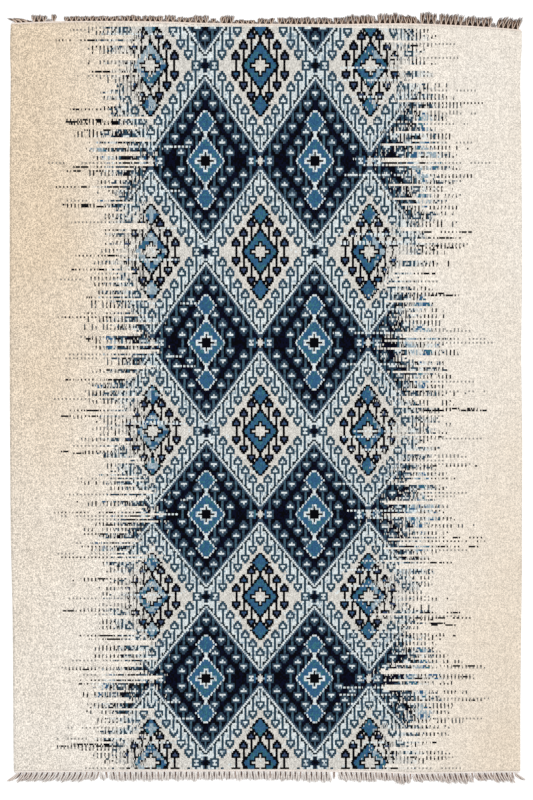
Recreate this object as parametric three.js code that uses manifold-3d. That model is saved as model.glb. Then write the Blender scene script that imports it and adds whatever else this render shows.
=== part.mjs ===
// Kilim rug lying flat: one flatwoven cloth and the knotted warp fringe at each of its two ends.
// Millimetres. X runs across the rug, Y along it, Z up, and the underside lies at zero height.
import * as THREE from 'three';
import { mergeVertices } from 'three/addons/utils/BufferGeometryUtils.js';
import Module from 'manifold-3d';

const wasm = await Module();
wasm.setup();

const clothThickness = 4;
const pieceGap = 0.3; // between the cloth and the strip that a fringe grows from
const outlineStep = 50; // between two points along an edge
const cornerRound = 5;

// Each long edge's distance from the middle line, row by row down the rug.
const longEdges = [
  { along: -1180, left: 789, right: 793 },
  { along: -1110, left: 790, right: 793 },
  { along: -970, left: 791, right: 793 },
  { along: -690, left: 793, right: 796 },
  { along: -550, left: 796, right: 798 },
  { along: -410, left: 799, right: 798 },
  { along: -130, left: 801, right: 799 },
  { along: 150, left: 802, right: 796 },
  { along: 430, left: 802, right: 799 },
  { along: 700, left: 802, right: 797 },
  { along: 850, left: 801, right: 796 },
  { along: 1000, left: 799, right: 793 },
  { along: 1100, left: 801, right: 797 },
  { along: 1180, left: 798, right: 798 },
];

// Each end's distance from the middle line, row by row across the rug.
const endEdges = [
  { across: -800, top: 1174, bottom: 1169 },
  { across: -645, top: 1179, bottom: 1168 },
  { across: -490, top: 1180, bottom: 1167 },
  { across: -320, top: 1178, bottom: 1166 },
  { across: -200, top: 1174, bottom: 1166 },
  { across: -20, top: 1171, bottom: 1165 },
  { across: 105, top: 1170, bottom: 1166 },
  { across: 230, top: 1170, bottom: 1167 },
  { across: 355, top: 1172, bottom: 1169 },
  { across: 450, top: 1172, bottom: 1173 },
  { across: 545, top: 1169, bottom: 1172 },
  { across: 675, top: 1162, bottom: 1170 },
  { across: 745, top: 1157, bottom: 1169 },
  { across: 800, top: 1152, bottom: 1169 },
];

// The fringe lies in tufts of knotted locks. Each row is a tuft: where its roots begin and end,
// how far out its tips reach, how far they lean sideways, and how much they gather (below 1) or fan out.
const topTufts = [
  { from: -789, to: -741, reach: 13, lean: -24, spread: 0.9 },
  { from: -734, to: -687, reach: 22, lean: 0, spread: 1 },
  { from: -676, to: -653, reach: 22, lean: 1, spread: 0.7 },
  { from: -633, to: -460, reach: 16, lean: 2, spread: 1 },
  { from: -455, to: -391, reach: 19, lean: -2, spread: 0.95 },
  { from: -388, to: -323, reach: 19, lean: 2, spread: 1 },
  { from: -318, to: -283, reach: 23, lean: 0, spread: 0.85 },
  { from: -279, to: -232, reach: 17, lean: 4, spread: 1 },
  { from: -228, to: -180, reach: 24, lean: -1, spread: 1 },
  { from: -176, to: -153, reach: 15, lean: -3, spread: 1 },
  { from: -148, to: -102, reach: 25, lean: 4, spread: 0.8 },
  { from: -98, to: -34, reach: 12, lean: -4, spread: 1 },
  { from: -30, to: 24, reach: 18, lean: 3, spread: 1 },
  { from: 33, to: 205, reach: 22, lean: 1, spread: 1 },
  { from: 209, to: 243, reach: 22, lean: 3, spread: 0.95 },
  { from: 247, to: 341, reach: 28, lean: -2, spread: 1 },
  { from: 345, to: 427, reach: 31, lean: 2, spread: 0.97 },
  { from: 431, to: 472, reach: 25, lean: -7, spread: 1 },
  { from: 477, to: 533, reach: 37, lean: 2, spread: 0.95 },
  { from: 538, to: 613, reach: 34, lean: 5, spread: 1 },
  { from: 617, to: 705, reach: 31, lean: 3, spread: 0.95 },
  { from: 716, to: 792, reach: 34, lean: 13, spread: 0.95 },
];

const bottomTufts = [
  { from: -784, to: -768, reach: 27, lean: -29, spread: 1 },
  { from: -766, to: -650, reach: 30, lean: -22, spread: 1 },
  { from: -648, to: -562, reach: 30, lean: -17, spread: 1 },
  { from: -560, to: -526, reach: 28, lean: -10, spread: 1 },
  { from: -523, to: -507, reach: 27, lean: 6, spread: 1 },
  { from: -495, to: -461, reach: 28, lean: 4, spread: 0.95 },
  { from: -459, to: -340, reach: 31, lean: 1, spread: 1 },
  { from: -336, to: -215, reach: 29, lean: -2, spread: 1 },
  { from: -211, to: -100, reach: 28, lean: 0, spread: 1 },
  { from: -96, to: 10, reach: 29, lean: 2, spread: 1 },
  { from: 14, to: 105, reach: 29, lean: -2, spread: 1 },
  { from: 109, to: 203, reach: 33, lean: 1, spread: 0.97 },
  { from: 220, to: 262, reach: 29, lean: 10, spread: 1 },
  { from: 266, to: 340, reach: 31, lean: 3, spread: 1 },
  { from: 344, to: 390, reach: 27, lean: 3, spread: 1 },
  { from: 394, to: 448, reach: 34, lean: 6, spread: 1 },
  { from: 452, to: 534, reach: 26, lean: 10, spread: 1 },
  { from: 538, to: 640, reach: 33, lean: 11, spread: 1 },
  { from: 644, to: 700, reach: 26, lean: 15, spread: 1 },
  { from: 704, to: 764, reach: 31, lean: 16, spread: 1 },
  { from: 770, to: 786, reach: 25, lean: 27, spread: 1 },
];

const lockPitch = 16.4; // from one knotted lock to the next
const lockClearance = 1; // left open between two locks
const lockWidest = 16;
const stripWidth = 5; // the last few picks, which the warps leave as locks
const rootDepth = 2; // how far a lock's root is sunk in its strip

// The lock from root to tip: its share of the room beside it, and its height above the floor.
const lockStations = [
  { part: 0, share: 0.38, height: 3.2 },
  { part: 0.3, share: 0.62, height: 3.6 },
  { part: 0.62, share: 0.95, height: 3.2 },
  { part: 0.9, share: 0.9, height: 2.4 },
  { part: 1, share: 0.5, height: 1.5 },
];
const crownShare = 0.55; // a lock's width on top, as part of its width on the floor
const lockBend = 0.6; // the part of its lean that a lock takes on towards its tip

// How much one lock differs from the next, and how fast that changes along the row.
const lockUneven = { reach: 0.08, reachTurn: 2.3, lean: 1.2, leanTurn: 1.7 };

const colours = { cloth: 0xe3dcd0, fringe: 0xa3948a };

// Reads one column of a table smoothly, at a place given in its first column.
function readTable(rows, place, column, at) {
  let next = 1;
  while (next < rows.length - 1 && rows[next][place] < at) next += 1;
  const before = rows[Math.max(next - 2, 0)];
  const start = rows[next - 1];
  const end = rows[next];
  const after = rows[Math.min(next + 1, rows.length - 1)];
  const part = (at - start[place]) / (end[place] - start[place]);
  const room = end[place] - start[place];
  const startSlope = ((end[column] - before[column]) / (end[place] - before[place])) * room;
  const endSlope = ((after[column] - start[column]) / (after[place] - start[place])) * room;
  const square = part * part;
  const cube = square * part;
  return start[column] * (2 * cube - 3 * square + 1) + startSlope * (cube - 2 * square + part)
    + end[column] * (3 * square - 2 * cube) + endSlope * (cube - square);
}

const leftAt = (along) => -readTable(longEdges, 'along', 'left', along);
const rightAt = (along) => readTable(longEdges, 'along', 'right', along);
const topAt = (across) => readTable(endEdges, 'across', 'top', across);
const bottomAt = (across) => -readTable(endEdges, 'across', 'bottom', across);

// Two places with the whole steps that lie between them, in order from the first to the last.
// Edges that run side by side share these steps, so they keep the same distance all along.
function stepsBetween(from, to) {
  const low = Math.min(from, to);
  const high = Math.max(from, to);
  const places = [low];
  for (let place = Math.ceil(low / outlineStep) * outlineStep; place < high; place += outlineStep) {
    if (place - low > cornerRound && high - place > cornerRound) places.push(place);
  }
  places.push(high);
  return from < to ? places : places.reverse();
}

// A flat shape through the points, raised to its thickness.
function extrudeOutline(points, thickness) {
  const shape = new THREE.Shape(points);
  return new THREE.ExtrudeGeometry(shape, { depth: thickness, bevelEnabled: false });
}

// The cloth stops short of each end by the width of the strip that the fringe grows from.
function clothGeometry() {
  const inset = stripWidth + pieceGap;
  const high = topAt(0) - inset;
  const low = bottomAt(0) + inset;
  const topEnd = (across) => topAt(across) - inset;
  const bottomEnd = (across) => bottomAt(across) + inset;
  const topRight = topEnd(rightAt(high)) - cornerRound;
  const topLeft = topEnd(leftAt(high)) - cornerRound;
  const bottomRight = bottomEnd(rightAt(low)) + cornerRound;
  const bottomLeft = bottomEnd(leftAt(low)) + cornerRound;
  const points = [];
  for (const along of stepsBetween(bottomRight, topRight)) {
    points.push(new THREE.Vector2(rightAt(along), along));
  }
  for (const across of stepsBetween(rightAt(high) - cornerRound, leftAt(high) + cornerRound)) {
    points.push(new THREE.Vector2(across, topEnd(across)));
  }
  for (const along of stepsBetween(topLeft, bottomLeft)) {
    points.push(new THREE.Vector2(leftAt(along), along));
  }
  for (const across of stepsBetween(leftAt(low) + cornerRound, rightAt(low) - cornerRound)) {
    points.push(new THREE.Vector2(across, bottomEnd(across)));
  }
  return extrudeOutline(points, clothThickness);
}

// One end of the rug: its edge line, which way the fringe points, and its tufts.
const ends = {
  top: { edgeAt: topAt, outward: 1, tufts: topTufts },
  bottom: { edgeAt: bottomAt, outward: -1, tufts: bottomTufts },
};

// The narrow strip along an end, from one long edge to the other, with its outer corners rounded.
function stripGeometry(end) {
  const inner = (across) => end.edgeAt(across) - end.outward * stripWidth;
  const left = leftAt(inner(0)) + cornerRound / 2;
  const right = rightAt(inner(0)) - cornerRound / 2;
  const outerSteps = stepsBetween(left + stripWidth, right - stripWidth);
  const innerSteps = stepsBetween(right, left);
  const points = [
    ...outerSteps.map((across) => new THREE.Vector2(across, end.edgeAt(across))),
    ...innerSteps.map((across) => new THREE.Vector2(across, inner(across))),
  ];
  return extrudeOutline(points, clothThickness);
}

// How far sideways a lock's middle lies from its root, a given distance out from the edge.
function acrossAt(lock, out) {
  const part = THREE.MathUtils.clamp(out / lock.reach, 0, 1);
  return lock.root + lock.lean * part * (1 - lockBend + lockBend * part);
}

// The locks of one end, spaced evenly in each tuft, no two quite alike.
function layLocks(tufts) {
  const locks = [];
  for (const tuft of tufts) {
    const count = Math.max(1, Math.round((tuft.to - tuft.from) / lockPitch));
    const room = (tuft.to - tuft.from) / count;
    const middle = (tuft.from + tuft.to) / 2;
    for (let index = 0; index < count; index += 1) {
      const root = tuft.from + room * (index + 0.5);
      const turn = locks.length;
      locks.push({
        root,
        reach: tuft.reach * (1 + lockUneven.reach * Math.sin(turn * lockUneven.reachTurn)),
        lean: tuft.lean + (tuft.spread - 1) * (root - middle)
          + lockUneven.lean * Math.sin(turn * lockUneven.leanTurn),
      });
    }
  }
  return locks;
}

// A lock as a closed four-sided strand, flat on the floor and narrower on top.
function lockGeometry(locks, index, end) {
  const positions = [];
  const lock = locks[index];
  const neighbours = [locks[index - 1], locks[index + 1]].filter(Boolean);
  for (const station of lockStations) {
    const out = lock.reach * station.part - rootDepth * (1 - station.part);
    const across = acrossAt(lock, out);
    const along = end.edgeAt(lock.root) + end.outward * out;
    const rooms = neighbours.map((other) => Math.abs(acrossAt(other, out) - across) - lockClearance);
    const half = (Math.min(lockWidest, ...rooms) * station.share) / 2;
    const crown = half * crownShare;
    positions.push(across - half, along, 0, across + half, along, 0);
    positions.push(across + crown, along, station.height);
    positions.push(across - crown, along, station.height);
  }
  const faces = [0, 2, 1, 0, 3, 2];
  const last = (lockStations.length - 1) * 4;
  for (let ring = 0; ring < last; ring += 4) {
    for (let side = 0; side < 4; side += 1) {
      const beside = (side + 1) % 4;
      faces.push(ring + side, ring + beside, ring + 4 + beside, ring + side, ring + 4 + beside, ring + 4 + side);
    }
  }
  faces.push(last, last + 1, last + 2, last, last + 2, last + 3);
  if (end.outward > 0) faces.reverse();
  const geometry = new THREE.BufferGeometry();
  geometry.setAttribute('position', new THREE.Float32BufferAttribute(positions, 3));
  geometry.setIndex(faces);
  return geometry;
}

function toSolid(geometry) {
  const bare = geometry.clone();
  bare.deleteAttribute('normal');
  bare.deleteAttribute('uv');
  const merged = mergeVertices(bare, 1e-4);
  return new wasm.Manifold(new wasm.Mesh({
    numProp: 3,
    vertProperties: new Float32Array(merged.attributes.position.array),
    triVerts: new Uint32Array(merged.index.array),
  }));
}

function fromSolid(solid) {
  const mesh = solid.getMesh();
  const geometry = new THREE.BufferGeometry();
  geometry.setAttribute('position', new THREE.BufferAttribute(new Float32Array(mesh.vertProperties), 3));
  geometry.setIndex(new THREE.BufferAttribute(new Uint32Array(mesh.triVerts), 1));
  geometry.computeVertexNormals();
  return geometry;
}

// A strip with all its locks grown out of it, as one solid.
function fringeGeometry(end) {
  const locks = layLocks(end.tufts);
  let solid = toSolid(stripGeometry(end));
  for (let index = 0; index < locks.length; index += 1) {
    solid = solid.add(toSolid(lockGeometry(locks, index, end)));
  }
  return fromSolid(solid);
}

function makeMesh(name, geometry, colour, roughness) {
  const material = new THREE.MeshStandardMaterial({ color: colour, roughness, metalness: 0 });
  const mesh = new THREE.Mesh(geometry, material);
  mesh.name = name;
  return mesh;
}

const rug = new THREE.Group();
rug.add(makeMesh('cloth', clothGeometry(), colours.cloth, 0.95));
rug.add(makeMesh('fringe_top', fringeGeometry(ends.top), colours.fringe, 0.9));
rug.add(makeMesh('fringe_bottom', fringeGeometry(ends.bottom), colours.fringe, 0.9));

// The origin is under the middle of the whole rug, fringes included.
const box = new THREE.Box3().setFromObject(rug);
const middle = box.getCenter(new THREE.Vector3());
rug.position.set(-middle.x, -middle.y, -box.min.z);
rug.updateMatrixWorld(true);

export default rug;
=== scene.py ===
# The looks of a flatwoven kilim rug, laid flat on a pale floor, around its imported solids.
# Table lengths are millimetres from the middle of the rug, X across it and Y along it.
import math
import bpy
import numpy as np
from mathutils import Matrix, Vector


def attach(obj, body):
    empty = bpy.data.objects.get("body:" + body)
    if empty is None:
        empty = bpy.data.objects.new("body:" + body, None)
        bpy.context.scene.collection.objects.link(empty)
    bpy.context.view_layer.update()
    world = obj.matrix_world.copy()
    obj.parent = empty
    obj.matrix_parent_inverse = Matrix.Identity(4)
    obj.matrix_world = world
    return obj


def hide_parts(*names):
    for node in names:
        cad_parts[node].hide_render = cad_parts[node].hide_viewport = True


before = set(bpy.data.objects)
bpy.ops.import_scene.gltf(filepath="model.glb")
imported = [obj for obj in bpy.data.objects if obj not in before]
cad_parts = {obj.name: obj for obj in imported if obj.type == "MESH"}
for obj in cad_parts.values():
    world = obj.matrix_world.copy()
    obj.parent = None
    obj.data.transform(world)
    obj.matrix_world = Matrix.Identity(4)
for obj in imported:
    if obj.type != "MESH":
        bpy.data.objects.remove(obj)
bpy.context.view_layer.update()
print("frame loaded")

millimetre = 0.001
middleShift = (-0.29, -0.57)  # from the tables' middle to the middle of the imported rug

# Each long edge's distance from the middle line: (along, left, right).
longEdges = [
    (-1180, 789, 793), (-1110, 790, 793), (-970, 791, 793), (-690, 793, 796), (-550, 796, 798),
    (-410, 799, 798), (-130, 801, 799), (150, 802, 796), (430, 802, 799), (700, 802, 797),
    (850, 801, 796), (1000, 799, 793), (1100, 801, 797), (1180, 798, 798),
]

# Each end's distance from the middle line: (across, top, bottom).
endEdges = [
    (-800, 1174, 1169), (-645, 1179, 1168), (-490, 1180, 1167), (-320, 1178, 1166), (-200, 1174, 1166),
    (-20, 1171, 1165), (105, 1170, 1166), (230, 1170, 1167), (355, 1172, 1169), (450, 1172, 1173),
    (545, 1169, 1172), (675, 1162, 1170), (745, 1157, 1169), (800, 1152, 1169),
]


# Reads one column of a table smoothly, at places given in its first column.
def readTable(rows, column, at):
    table = np.array(rows, dtype=float)
    place = table[:, 0]
    value = table[:, column]
    last = len(place) - 1
    after = np.clip(np.searchsorted(place, at, side="left"), 1, last)
    start = after - 1
    before = np.maximum(after - 2, 0)
    beyond = np.minimum(after + 1, last)
    room = place[after] - place[start]
    part = (at - place[start]) / room
    startSlope = (value[after] - value[before]) / (place[after] - place[before]) * room
    endSlope = (value[beyond] - value[start]) / (place[beyond] - place[start]) * room
    square = part * part
    cube = square * part
    return (value[start] * (2 * cube - 3 * square + 1) + startSlope * (cube - 2 * square + part)
            + value[after] * (3 * square - 2 * cube) + endSlope * (cube - square))


def leftAt(along):
    return -readTable(longEdges, 1, along)


def rightAt(along):
    return readTable(longEdges, 2, along)


def topAt(across):
    return readTable(endEdges, 1, across)


def bottomAt(across):
    return -readTable(endEdges, 2, across)


# From the tables' millimetres to the frame's metres.
def toFrame(points):
    shift = np.array([middleShift[0], middleShift[1], 0.0])
    return (np.asarray(points, dtype=float) + shift) * millimetre


# A linear colour, ready for a shader, from the sRGB values a maker would read off.
def dye(red, green, blue, level=1.0):
    linear = []
    for value in (red, green, blue):
        part = value / 255
        linear.append((part / 12.92 if part <= 0.04045 else ((part + 0.055) / 1.055) ** 2.4) * level)
    return (*linear, 1.0)


# Camera, straight above the rug.
cameraSettings = {"middle": (-0.0003, -0.0053), "height": 6.0, "frameTall": 2.5}


def addCamera(settings):
    across, along = settings["middle"]
    bpy.ops.object.camera_add(location=(across, along, settings["height"]), rotation=(0, 0, 0))
    camera = bpy.context.object
    camera.name = "overheadCamera"
    camera.data.sensor_width = 36
    camera.data.lens = 36 * settings["height"] / settings["frameTall"]
    camera.data.clip_end = 50
    bpy.context.scene.camera = camera


addCamera(cameraSettings)


# Helpers for the materials' nodes.
def newMaterial(name, roughness, sheen=0.0):
    material = bpy.data.materials.new(name)
    material.use_nodes = True
    shader = material.node_tree.nodes["Principled BSDF"]
    shader.inputs["Roughness"].default_value = roughness
    shader.inputs["Specular IOR Level"].default_value = 0.04
    shader.inputs["Sheen Weight"].default_value = sheen
    shader.inputs["Sheen Roughness"].default_value = 0.6
    return material, material.node_tree, shader


def feed(tree, value, socket):
    if isinstance(value, bpy.types.NodeSocket):
        tree.links.new(value, socket)
    else:
        socket.default_value = value


def doMath(tree, operation, first, second=0.0, third=None, clamp=False):
    node = tree.nodes.new("ShaderNodeMath")
    node.operation = operation
    node.use_clamp = clamp
    feed(tree, first, node.inputs[0])
    feed(tree, second, node.inputs[1])
    if third is not None:
        feed(tree, third, node.inputs[2])
    return node.outputs[0]


def mixColour(tree, factor, first, second, blend="MIX"):
    node = tree.nodes.new("ShaderNodeMix")
    node.data_type = "RGBA"
    node.blend_type = blend
    feed(tree, factor, node.inputs[0])
    feed(tree, first, node.inputs[6])
    feed(tree, second, node.inputs[7])
    return node.outputs[2]


def mixValue(tree, factor, first, second):
    node = tree.nodes.new("ShaderNodeMix")
    node.data_type = "FLOAT"
    feed(tree, factor, node.inputs[0])
    feed(tree, first, node.inputs[2])
    feed(tree, second, node.inputs[3])
    return node.outputs[0]


def mapRange(tree, value, fromLow, fromHigh, toLow, toHigh, smooth=False):
    node = tree.nodes.new("ShaderNodeMapRange")
    node.interpolation_type = "SMOOTHSTEP" if smooth else "LINEAR"
    feed(tree, value, node.inputs[0])
    for index, number in enumerate((fromLow, fromHigh, toLow, toHigh)):
        feed(tree, number, node.inputs[index + 1])
    return node.outputs[0]


def separate(tree, vector):
    node = tree.nodes.new("ShaderNodeSeparateXYZ")
    feed(tree, vector, node.inputs[0])
    return node.outputs


def combine(tree, across, along, up=0.0):
    node = tree.nodes.new("ShaderNodeCombineXYZ")
    feed(tree, across, node.inputs[0])
    feed(tree, along, node.inputs[1])
    feed(tree, up, node.inputs[2])
    return node.outputs[0]


def noise(tree, vector, scale):
    node = tree.nodes.new("ShaderNodeTexNoise")
    feed(tree, vector, node.inputs["Vector"])
    node.inputs["Scale"].default_value = scale
    node.inputs["Detail"].default_value = 3.0
    return node.outputs["Fac"]


def whiteNoise(tree, vector):
    node = tree.nodes.new("ShaderNodeTexWhiteNoise")
    node.noise_dimensions = "2D"
    feed(tree, vector, node.inputs["Vector"])
    return node.outputs["Value"]


def bump(tree, height, strength, distance):
    node = tree.nodes.new("ShaderNodeBump")
    feed(tree, height, node.inputs["Height"])
    node.inputs["Strength"].default_value = strength
    node.inputs["Distance"].default_value = distance
    return node.outputs[0]


def placeGroup(tree, group, **values):
    node = tree.nodes.new("ShaderNodeGroup")
    node.node_tree = group
    for name, value in values.items():
        feed(tree, value, node.inputs[name])
    return node.outputs


def newGroup(name, inputs, outputs):
    group = bpy.data.node_groups.new(name, "ShaderNodeTree")
    for label, kind, default in inputs:
        socket = group.interface.new_socket(label, in_out="INPUT", socket_type=kind)
        if default is not None:
            socket.default_value = default
    for label, kind in outputs:
        group.interface.new_socket(label, in_out="OUTPUT", socket_type=kind)
    start = group.nodes.new("NodeGroupInput")
    end = group.nodes.new("NodeGroupOutput")
    return group, start.outputs, end.inputs


# A colour darkened or lightened by a number.
def shadeColour(tree, colour, shade):
    return mixColour(tree, 1.0, colour, combine(tree, shade, shade, shade), "MULTIPLY")


# Helpers for the pieces' meshes.
def newPiece(name, points, faces):
    mesh = bpy.data.meshes.new(name + "Mesh")
    mesh.from_pydata(toFrame(points).tolist(), [], faces.tolist())
    mesh.update()
    mesh.polygons.foreach_set("use_smooth", np.ones(len(faces), dtype=bool))
    piece = bpy.data.objects.new(name, mesh)
    bpy.context.scene.collection.objects.link(piece)
    return piece


def addMap(mesh, name, places):
    layer = mesh.uv_layers.new(name=name)
    layer.data.foreach_set("uv", places.astype(np.float32).ravel())


def addNumbers(mesh, name, domain, values):
    attribute = mesh.attributes.new(name, "FLOAT_COLOR", domain)
    attribute.data.foreach_set("color", values.astype(np.float32).ravel())


# The relief of the plain weave: one rib to a warp, crossed by weft beads that alternate.
def buildWeaveRelief():
    group, given, result = newGroup(
        "weaveRelief",
        [("Vector", "NodeSocketVector", None), ("Passes", "NodeSocketFloat", 3.0)],
        [("Height", "NodeSocketFloat"), ("Gap", "NodeSocketFloat")])
    place = separate(group, given["Vector"])
    across = doMath(group, "FRACT", place[0])
    rib = doMath(group, "SINE", doMath(group, "MULTIPLY", across, math.pi))
    turn = doMath(group, "MODULO", doMath(group, "FLOOR", place[0]), 2.0)
    passes = doMath(group, "MULTIPLY", place[1], given["Passes"])
    along = doMath(group, "FRACT", doMath(group, "ADD", passes, doMath(group, "MULTIPLY", turn, 0.5)))
    bead = doMath(group, "SINE", doMath(group, "MULTIPLY", along, math.pi))
    rib = doMath(group, "POWER", rib, 0.6)
    bead = doMath(group, "POWER", bead, 0.5)
    height = doMath(group, "MULTIPLY", rib, bead)
    group.links.new(height, result["Height"])
    gap = doMath(group, "SUBTRACT", 1.0, height, clamp=True)
    group.links.new(gap, result["Gap"])
    return group


# The cell of a grid that a stitch lies in, where a cell is so many warps wide and rows tall.
def gridCell(tree, place, warps, rows):
    column = doMath(tree, "FLOOR", doMath(tree, "MULTIPLY", place[0], 1 / warps))
    row = doMath(tree, "FLOOR", doMath(tree, "MULTIPLY", place[1], 1 / rows))
    return combine(tree, column, row)


# Uneven spinning and dyeing: specks from stitch to stitch and streaks along rows and warps.
def buildHeather():
    group, given, result = newGroup(
        "heather",
        [("Vector", "NodeSocketVector", None), ("Speck", "NodeSocketFloat", 0.1),
         ("Streak", "NodeSocketFloat", 0.1)],
        [("Tone", "NodeSocketFloat")])
    place = separate(group, given["Vector"])
    fine = whiteNoise(group, gridCell(group, place, 1, 0.5))
    coarse = whiteNoise(group, gridCell(group, place, 2, 1))
    speck = doMath(group, "MULTIPLY_ADD", coarse, 0.22, doMath(group, "MULTIPLY", fine, 0.78))
    speck = doMath(group, "SUBTRACT", speck, 0.5)
    rowStreak = noise(group, combine(group, doMath(group, "MULTIPLY", place[0], 0.03), place[1]), 0.9)
    warpStreak = noise(group, combine(group, place[0], doMath(group, "MULTIPLY", place[1], 0.03)), 0.5)
    warpLine = whiteNoise(group, gridCell(group, place, 1, 20))
    rowLine = whiteNoise(group, gridCell(group, place, 25, 1))
    lines = doMath(group, "SUBTRACT", doMath(group, "ADD", warpLine, rowLine), 1.0)
    lines = doMath(group, "MULTIPLY", lines, 0.35)
    streak = doMath(group, "SUBTRACT", doMath(group, "ADD", rowStreak, warpStreak), 1.0)
    streak = doMath(group, "ADD", streak, lines)
    tone = doMath(group, "MULTIPLY_ADD", speck, given["Speck"], 1.0)
    tone = doMath(group, "MULTIPLY_ADD", streak, given["Streak"], tone)
    group.links.new(tone, result["Tone"])
    return group


weaveRelief = buildWeaveRelief()
heather = buildHeather()

# How the weave is divided. A face of the cloth holds four warps and two rows.
warpsPerColumn = 2
columnsPerFace = 2
warpsPerFace = warpsPerColumn * columnsPerFace
rowsPerFace = 2
dyeLevels = 16    # how finely the dye of a stitch can fade

# The cloth.
clothSettings = {
    "thickness": 3.6,
    "edgeRound": 1.1,      # how far the faces are drawn in from the outline
    "edgeDrop": 0.14,      # how far each comes in there, as a part of the thickness
    "endRound": 0.05,
    "unevenness": 0.18,    # slow rise and fall of the surface
    "inset": 5.3,          # from the end of the rug to the cloth, where the fringe's strip lies
    "leftColumn": -166,
    "rightColumn": 174,
    "firstRow": -18,
    "lastRow": 371,
    "hemRows": 2,
    "patternAxis": -19.5,
    "freeColumns": 120,    # columns up to this far from the axis keep their own width
    "droopRows": 24,       # rows over which the droop of the top end dies away
    "bakeMargin": 0.004,
    "dyeSeed": 5,
}

# How wide a column of the weave is: (along, width).
columnWidths = [
    (-1083, 4.753), (-880, 4.709), (-620, 4.696), (-361, 4.688), (-102, 4.666),
    (177, 4.679), (464, 4.731), (745, 4.753), (1042, 4.783),
]

# Where each row of the weave lies: (row, along). Rows are closer together down the rug.
rowPlaces = [
    (-46, 1339), (-18.5, 1161), (0, 1040), (46, 741.9), (92, 458.4), (138, 174.1), (184, -102.2),
    (230, -361.6), (276, -618.8), (322, -874.4), (368, -1137.5), (380, -1207),
]

# How far the first rows droop with the uneven top end: (across, droop).
topDroop = [(-800, 0), (100, 0), (230, 3), (400, 5), (560, 8), (675, 11), (745, 15), (800, 19)]

# Palette of the weave. The stitches hold its numbers.
palette = {
    "field": (234, 222, 208), "ground": (210, 207, 200), "white": (212, 220, 221), "black": (2, 2, 7),
    "navy": (5, 8, 30), "blue": (48, 90, 126), "teal": (54, 106, 120), "tealLine": (44, 68, 82),
    "bead": (30, 44, 52), "lining": (58, 78, 96), "stem": (62, 92, 108), "slate": (46, 67, 83),
    "paleBlue": (150, 168, 178), "grey": (92, 94, 94), "charcoal": (24, 24, 26), "violet": (60, 74, 104),
}
paletteNumber = {name: number for number, name in enumerate(palette)}

# Dye lots: how often a stitch of one dye takes another.
dyeLots = [
    ("navy", "black", 0.5), ("white", "paleBlue", 0.26), ("blue", "teal", 0.34), ("violet", "blue", 0.3),
    ("slate", "lining", 0.3), ("stem", "slate", 0.3), ("tealLine", "lining", 0.3), ("ground", "white", 0.12),
]

# The lattice, in columns across and rows along from the middle of a light medallion.
latticeSettings = {
    "halfAcross": 36,     # to the middle of the next dark medallion
    "halfAlong": 46,
    "edgeReach": 41,      # columns and rows, added, out to a medallion's stepped edge
    "ringReach": 31,      # and out to the ground of its outer ring
    "boxColumn": 30,
    "diamondRow": 19,
    "diamondHalf": 6.5,
    "middleHalf": 12.5,
}


# One stepped medallion, drawn from its middle outwards with the colours of its kind. Across and
# along count columns and rows from that middle.
def drawMedallion(chart, inside, across, along, kind, settings):
    def paint(mask, name):
        chart[inside & mask] = paletteNumber[name]

    def drawHead(column, row, tipOutward, line, fill, fillHalf):
        beside = np.abs(across - column)
        step = (row + 2 - along) if tipOutward else (along - row + 2)
        paint((step == 0) & (beside < 1), line)
        paint((step == 1) & (beside < 2), line)
        paint((step >= 2) & (step <= 4) & (beside < 3), line)
        paint((step == 2) & (beside < 0.5), fill)
        paint((step == 3) & (beside < fillHalf), fill)

    def isStem(column):
        beside = across - column
        return (beside > -1) & (beside < 0.5) if column else across < 0.5

    reach = across + along
    edgeReach = settings["edgeReach"]
    # ground between the stems of the outer ring
    paint(reach > settings["ringReach"], kind["ringGround"])
    # stems and heads of the outer ring
    for column, row in kind["outerRing"]:
        paint(isStem(column) & (along > row + 2) & (reach < edgeReach), kind["stem"])
        drawHead(column, row, False, kind["ringLine"], kind["ringFill"], kind["ringFillHalf"])
    # box at the medallion's side
    paint(isStem(settings["boxColumn"]) & (along > 2) & (reach < edgeReach), kind["stem"])
    beside = np.abs(across - settings["boxColumn"])
    paint((beside < 3) & (along <= 2), kind["ringLine"])
    paint((beside < 1.5) & (along <= 1), kind["ringFill"])
    paint((beside < 2) & (beside > 0.5) & (along == 0), kind["ringLine"])
    # inner ring
    for column, row in kind["innerRing"]:
        paint(isStem(column) & (along < row - 2), kind["innerStem"])
        drawHead(column, row, True, kind["innerLine"], kind["innerFill"], kind["innerFillHalf"])
    # small diamonds above and below the middle, with toothed outlines
    off = np.abs(along - settings["diamondRow"])
    line = kind["diamondLineWidth"]
    half = settings["diamondHalf"] + 0.5 * (along % 2)
    paint((off <= 5) & (across < half - off), kind["diamondLine"])
    paint((off <= 4) & (across < half - line - off), kind["diamondFill"])
    paint((across < 1) & (along >= 12) & (along <= 13), kind["diamondLine"])
    # central diamond and its star
    half = settings["middleHalf"] + 0.5 * (along % 2)
    paint((along <= 11) & (across < half - along), kind["diamondLine"])
    paint((along <= 10) & (across < half - line - along), kind["diamondFill"])
    paint((across < 4) & (along <= 3), kind["starLine"])
    paint((across < 7) & (along <= 1), kind["starLine"])
    paint((across < 1.5) & (along <= 5), kind["starLine"])
    paint((across < 3) & (along <= 2), kind["star"])
    paint((across < 5.5) & (along == 0), kind["star"])
    paint((across < 0.5) & (along <= 4), kind["star"])


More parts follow.
